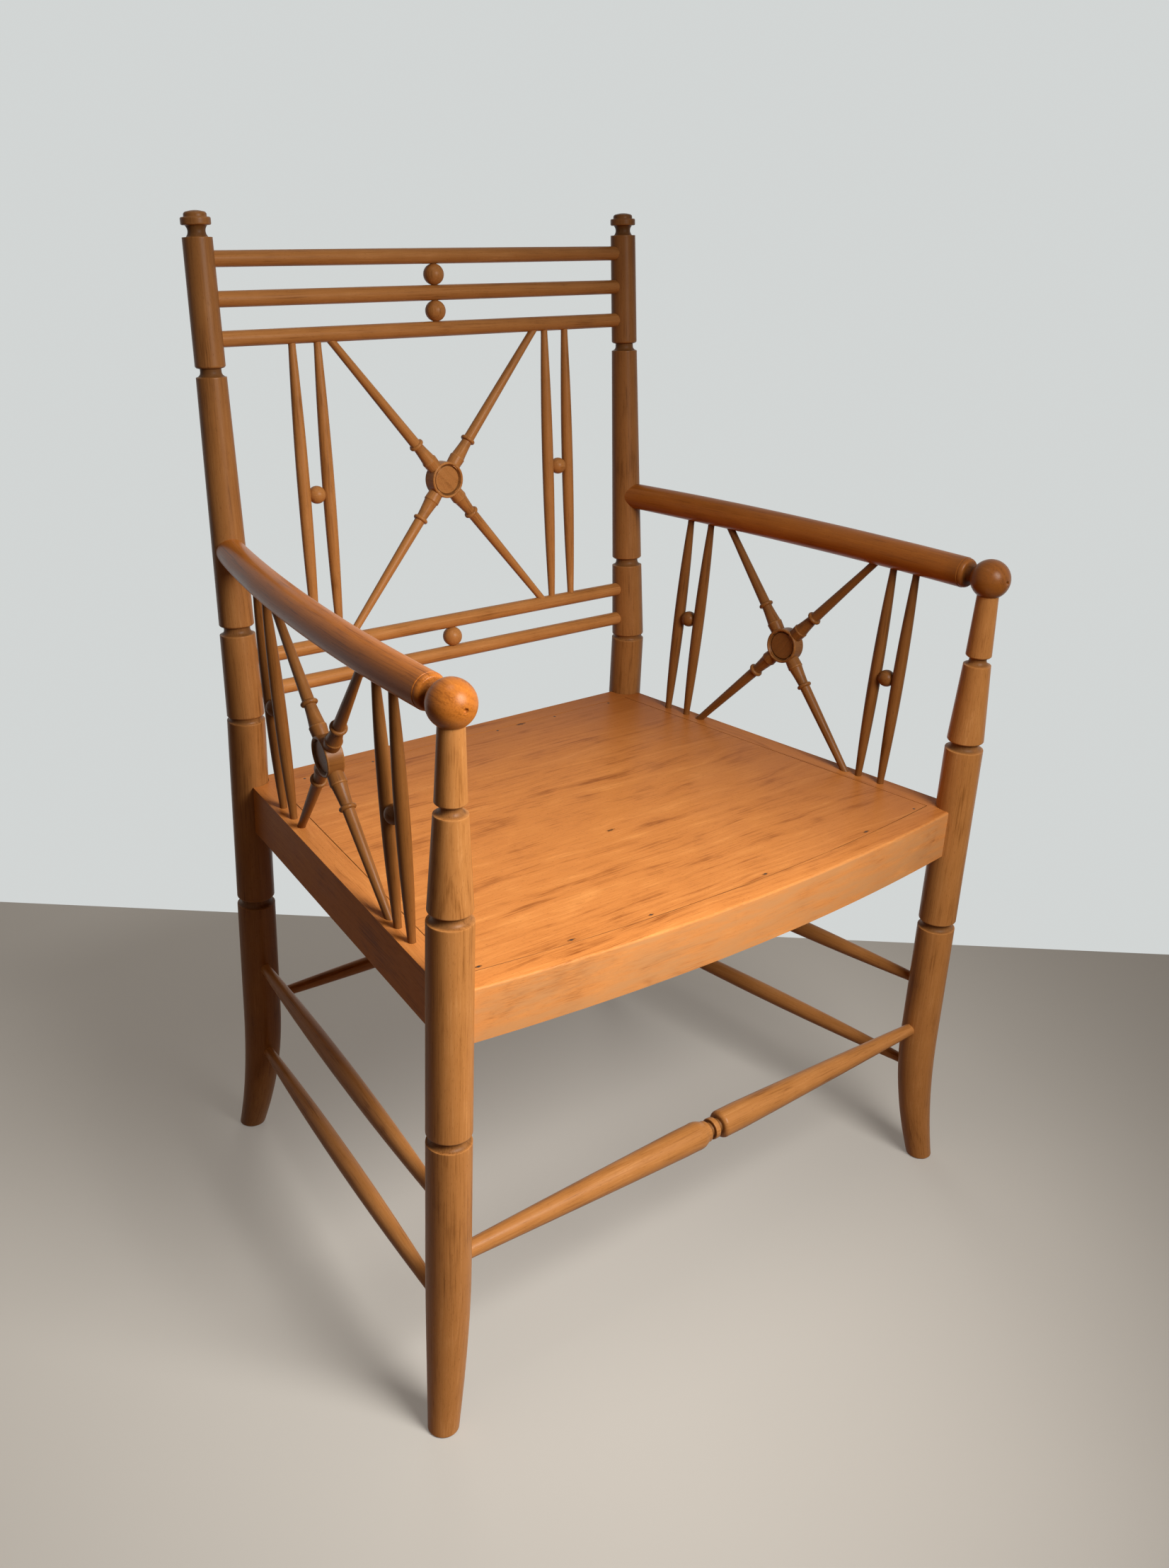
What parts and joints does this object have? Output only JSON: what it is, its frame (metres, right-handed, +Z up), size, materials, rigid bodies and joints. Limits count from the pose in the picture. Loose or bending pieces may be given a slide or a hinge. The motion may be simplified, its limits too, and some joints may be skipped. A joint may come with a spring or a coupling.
{
  "type": "faux bamboo armchair",
  "caption": "Turned wooden armchair in faux bamboo style, with grooved posts, spindle and cross panels, bowed arms ending in balls, and a flat bow-front seat.",
  "frame": {"origin": "middle of the chair's footprint, on the floor", "axes": "+Z up, -Y the way the sitter faces, +X to the sitter's left, which is the right-hand side seen from the front"},
  "size_m": [0.6694, 0.5314, 0.9572],
  "materials": {
    "turned_wood": "satin varnish",
    "arm_wood": "satin varnish, hand worn",
    "seat_wood": "satin varnish",
    "block_wood": "bare, unvarnished",
    "brad_steel": "darkened"
  },
  "bodies": {
    "root": {"arm_bead_left_back": "turned_wood", "arm_bead_left_front": "turned_wood", "arm_bead_right_back": "turned_wood", "arm_bead_right_front": "turned_wood", "arm_cross_left_lower_back": "turned_wood", "arm_cross_left_lower_front": "turned_wood", "arm_cross_left_upper_back": "turned_wood", "arm_cross_left_upper_front": "turned_wood", "arm_cross_right_lower_back": "turned_wood", "arm_cross_right_lower_front": "turned_wood", "arm_cross_right_upper_back": "turned_wood", "arm_cross_right_upper_front": "turned_wood", "arm_hub_left": "turned_wood", "arm_hub_right": "turned_wood", "arm_spindle_left_back_back": "turned_wood", "arm_spindle_left_back_front": "turned_wood", "arm_spindle_left_front_back": "turned_wood", "arm_spindle_left_front_front": "turned_wood", "arm_spindle_right_back_back": "turned_wood", "arm_spindle_right_back_front": "turned_wood", "arm_spindle_right_front_back": "turned_wood", "arm_spindle_right_front_front": "turned_wood", "armrest_left": "arm_wood", "armrest_right": "arm_wood", "back_cross_lower_left": "turned_wood", "back_cross_lower_right": "turned_wood", "back_cross_upper_left": "turned_wood", "back_cross_upper_right": "turned_wood", "back_hub": "turned_wood", "back_post_left": "turned_wood", "back_post_right": "turned_wood", "back_rail_bead": "turned_wood", "back_rail_lower": "turned_wood", "back_rail_upper": "turned_wood", "back_seat_rail": "seat_wood", "back_spindle_bead_left": "turned_wood", "back_spindle_bead_right": "turned_wood", "back_spindle_left_inner": "turned_wood", "back_spindle_left_outer": "turned_wood", "back_spindle_right_inner": "turned_wood", "back_spindle_right_outer": "turned_wood", "back_stretcher": "turned_wood", "corner_blocks": "block_wood", "crest_bead_lower": "turned_wood", "crest_bead_upper": "turned_wood", "crest_rail_bottom": "turned_wood", "crest_rail_middle": "turned_wood", "crest_rail_top": "turned_wood", "front_leg_left": "turned_wood", "front_leg_right": "turned_wood", "front_seat_rail": "seat_wood", "front_stretcher": "turned_wood", "left_seat_rail": "seat_wood", "right_seat_rail": "seat_wood", "seat_brads": "brad_steel", "seat_panel": "seat_wood", "side_stretcher_left_lower": "turned_wood", "side_stretcher_left_upper": "turned_wood", "side_stretcher_right_lower": "turned_wood", "side_stretcher_right_upper": "turned_wood"}
  },
  "joints": []
}
